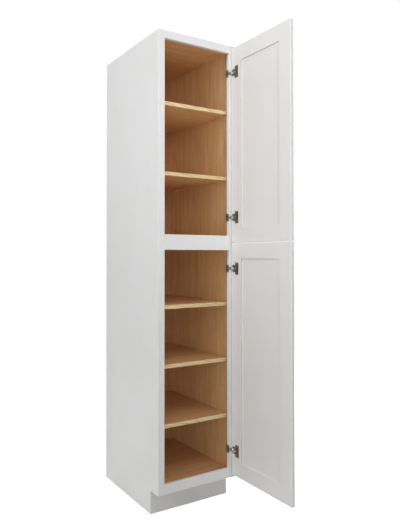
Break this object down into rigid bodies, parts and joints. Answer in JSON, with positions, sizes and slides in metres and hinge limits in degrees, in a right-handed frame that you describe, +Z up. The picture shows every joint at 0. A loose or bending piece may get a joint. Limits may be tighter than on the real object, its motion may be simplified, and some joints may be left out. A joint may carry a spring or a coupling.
{
  "type": "utility cabinet",
  "caption": "Tall face-frame utility cabinet with stacked right-hung overlay doors, maple interior, lift-off shelves and a notched toe space.",
  "frame": {"origin": "on the floor, at the middle of the back face", "axes": "+X to the right for a person facing the doors, +Y to the wall behind, +Z up"},
  "size_m": [0.4572, 1.0591, 2.3622],
  "materials": {
    "painted_wood": "sprayed satin white paint",
    "maple_plywood": "clear satin lacquer over rotary maple veneer",
    "solid_maple": "clear satin lacquer",
    "beech": "plain, glued in",
    "nickel_plated_steel": "pressed and nickel plated"
  },
  "bodies": {
    "cabinet": {"left_side_panel": "painted_wood", "right_side_panel": "painted_wood", "toe_board": "painted_wood", "left_frame_stile": "painted_wood", "right_frame_stile": "painted_wood", "bottom_frame_rail": "painted_wood", "middle_frame_rail": "painted_wood", "top_frame_rail": "painted_wood", "back_panel": "maple_plywood", "top_panel": "maple_plywood", "bottom_deck": "maple_plywood", "lower_section_ceiling": "maple_plywood", "upper_section_floor": "maple_plywood", "frame_dowels": "beech", "upper_door_top_hinge_plate": "nickel_plated_steel", "upper_door_top_hinge_arm": "nickel_plated_steel", "upper_door_bottom_hinge_plate": "nickel_plated_steel", "upper_door_bottom_hinge_arm": "nickel_plated_steel", "lower_door_top_hinge_plate": "nickel_plated_steel", "lower_door_top_hinge_arm": "nickel_plated_steel", "lower_door_bottom_hinge_plate": "nickel_plated_steel", "lower_door_bottom_hinge_arm": "nickel_plated_steel", "upper_shelf_pins": "nickel_plated_steel", "lower_shelf_pins": "nickel_plated_steel", "hinge_plate_screws": "nickel_plated_steel", "hinge_arm_screws": "nickel_plated_steel"},
    "upper_door": {"upper_door_hinge_stile": "painted_wood", "upper_door_free_stile": "painted_wood", "upper_door_top_rail": "painted_wood", "upper_door_bottom_rail": "painted_wood", "upper_door_panel": "painted_wood", "upper_door_top_hinge_cup": "nickel_plated_steel", "upper_door_bottom_hinge_cup": "nickel_plated_steel", "upper_door_hinge_pins": "nickel_plated_steel", "upper_door_cup_screws": "nickel_plated_steel"},
    "lower_door": {"lower_door_hinge_stile": "painted_wood", "lower_door_free_stile": "painted_wood", "lower_door_top_rail": "painted_wood", "lower_door_bottom_rail": "painted_wood", "lower_door_panel": "painted_wood", "lower_door_top_hinge_cup": "nickel_plated_steel", "lower_door_bottom_hinge_cup": "nickel_plated_steel", "lower_door_hinge_pins": "nickel_plated_steel", "lower_door_cup_screws": "nickel_plated_steel"},
    "lower_shelf_1": {"lower_shelf_1": "maple_plywood", "lower_shelf_1_lipping": "solid_maple"},
    "lower_shelf_2": {"lower_shelf_2": "maple_plywood", "lower_shelf_2_lipping": "solid_maple"},
    "lower_shelf_3": {"lower_shelf_3": "maple_plywood", "lower_shelf_3_lipping": "solid_maple"},
    "upper_shelf_1": {"upper_shelf_1": "maple_plywood", "upper_shelf_1_lipping": "solid_maple"},
    "upper_shelf_2": {"upper_shelf_2": "maple_plywood", "upper_shelf_2_lipping": "solid_maple"}
  },
  "joints": [
    {"name": "upper_door_swing", "type": "hinge", "parent": "cabinet", "child": "upper_door", "pos_m": [0.2155, -0.6201, 1.8386], "axis": [0, 0, 1], "range_deg": [-90, 15]},
    {"name": "lower_door_swing", "type": "hinge", "parent": "cabinet", "child": "lower_door", "pos_m": [0.2155, -0.6201, 0.72775], "axis": [0, 0, 1], "range_deg": [-90, 15]},
    {"name": "lower_shelf_1_lift", "type": "slide", "parent": "cabinet", "child": "lower_shelf_1", "axis": [0, 0, 1], "range_m": [0, 0.06]},
    {"name": "lower_shelf_2_lift", "type": "slide", "parent": "cabinet", "child": "lower_shelf_2", "axis": [0, 0, 1], "range_m": [0, 0.06]},
    {"name": "lower_shelf_3_lift", "type": "slide", "parent": "cabinet", "child": "lower_shelf_3", "axis": [0, 0, 1], "range_m": [0, 0.06]},
    {"name": "upper_shelf_1_lift", "type": "slide", "parent": "cabinet", "child": "upper_shelf_1", "axis": [0, 0, 1], "range_m": [0, 0.06]},
    {"name": "upper_shelf_2_lift", "type": "slide", "parent": "cabinet", "child": "upper_shelf_2", "axis": [0, 0, 1], "range_m": [0, 0.06]}
  ]
}
